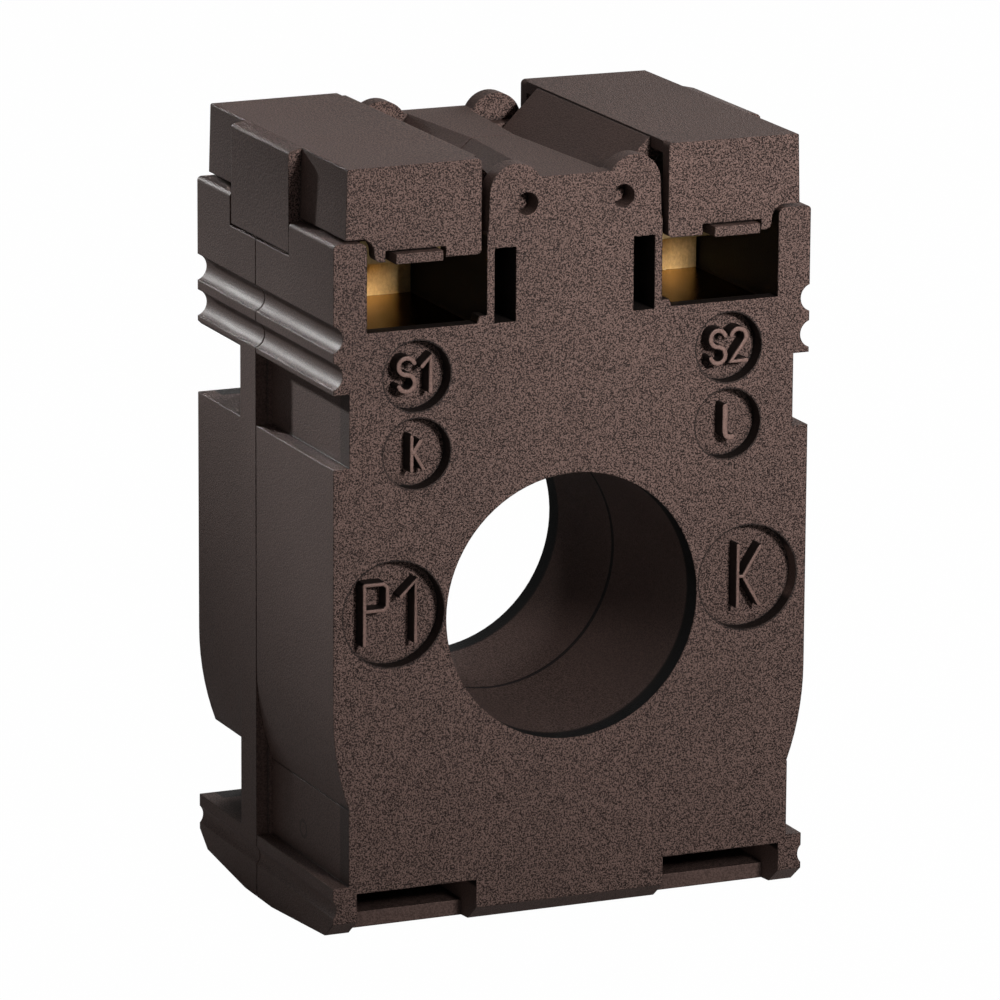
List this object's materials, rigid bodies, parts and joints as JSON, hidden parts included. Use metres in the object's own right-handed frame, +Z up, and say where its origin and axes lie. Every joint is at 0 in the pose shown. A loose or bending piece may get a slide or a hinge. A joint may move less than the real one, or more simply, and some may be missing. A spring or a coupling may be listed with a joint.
{
  "type": "current transformer",
  "caption": "Window type current transformer in a black moulded housing with a round primary opening, screw terminals and hinged terminal covers.",
  "frame": {"origin": "centre of the bounding box at the lowest edge of the housing, under the middle of the window", "axes": "+Z up, +X to the right seen from the front face, the window's axis along Y, front face towards -Y"},
  "size_m": [0.0424, 0.0318, 0.0653],
  "materials": {
    "housing_plastic": "fine spark-eroded grain, matt",
    "terminal_brass": "bright drawn brass",
    "screw_steel": "zinc plated",
    "core_steel": "strip-wound silicon steel",
    "cap_plastic": "natural nylon",
    "enamelled_copper": "enamelled copper wire",
    "tape": "polyester tape",
    "lead_insulation": "insulating sleeve"
  },
  "bodies": {
    "housing": {"front_shell": "housing_plastic", "rear_shell": "housing_plastic", "s1_terminal": "terminal_brass", "s2_terminal": "terminal_brass", "s1_lead": "lead_insulation", "s2_lead": "lead_insulation", "s1_tag": "terminal_brass", "s2_tag": "terminal_brass", "core": "core_steel", "core_front_cap": "cap_plastic", "core_rear_cap": "cap_plastic", "winding": "enamelled_copper", "winding_tape": "tape"},
    "left_cover": {"left_cover": "housing_plastic"},
    "right_cover": {"right_cover": "housing_plastic"},
    "s1_front_clamp": {"s1_front_clamp": "screw_steel"},
    "s1_front_screw": {"s1_front_screw": "screw_steel"},
    "s1_rear_clamp": {"s1_rear_clamp": "screw_steel"},
    "s1_rear_screw": {"s1_rear_screw": "screw_steel"},
    "s2_front_clamp": {"s2_front_clamp": "screw_steel"},
    "s2_front_screw": {"s2_front_screw": "screw_steel"},
    "s2_rear_clamp": {"s2_rear_clamp": "screw_steel"},
    "s2_rear_screw": {"s2_rear_screw": "screw_steel"}
  },
  "joints": [
    {"name": "left_cover_hinge", "type": "hinge", "parent": "housing", "child": "left_cover", "pos_m": [-0.00428, 0, 0.06127], "axis": [0, 1, 0], "range_deg": [0, 80]},
    {"name": "right_cover_hinge", "type": "hinge", "parent": "housing", "child": "right_cover", "pos_m": [0.00428, 0, 0.06127], "axis": [0, -1, 0], "range_deg": [0, 80]},
    {"name": "s1_front_press", "type": "slide", "parent": "housing", "child": "s1_front_clamp", "axis": [0, 0, -1], "range_m": [0, 0.004]},
    {"name": "s1_front_turn", "type": "hinge", "parent": "s1_front_clamp", "child": "s1_front_screw", "pos_m": [-0.01304, -0.005, 0.06], "axis": [0, 0, -1], "range_deg": [0, 2401]},
    {"name": "s1_rear_press", "type": "slide", "parent": "housing", "child": "s1_rear_clamp", "axis": [0, 0, -1], "range_m": [0, 0.004]},
    {"name": "s1_rear_turn", "type": "hinge", "parent": "s1_rear_clamp", "child": "s1_rear_screw", "pos_m": [-0.01304, 0.0074, 0.06], "axis": [0, 0, -1], "range_deg": [0, 2401]},
    {"name": "s2_front_press", "type": "slide", "parent": "housing", "child": "s2_front_clamp", "axis": [0, 0, -1], "range_m": [0, 0.004]},
    {"name": "s2_front_turn", "type": "hinge", "parent": "s2_front_clamp", "child": "s2_front_screw", "pos_m": [0.01304, -0.005, 0.06], "axis": [0, 0, -1], "range_deg": [0, 2401]},
    {"name": "s2_rear_press", "type": "slide", "parent": "housing", "child": "s2_rear_clamp", "axis": [0, 0, -1], "range_m": [0, 0.004]},
    {"name": "s2_rear_turn", "type": "hinge", "parent": "s2_rear_clamp", "child": "s2_rear_screw", "pos_m": [0.01304, 0.0074, 0.06], "axis": [0, 0, -1], "range_deg": [0, 2401]}
  ],
  "couplings": [
    {"joint": "s1_front_turn", "follows": "s1_front_press", "rad_per_m": 10472},
    {"joint": "s1_rear_turn", "follows": "s1_rear_press", "rad_per_m": 10472},
    {"joint": "s2_front_turn", "follows": "s2_front_press", "rad_per_m": 10472},
    {"joint": "s2_rear_turn", "follows": "s2_rear_press", "rad_per_m": 10472}
  ]
}
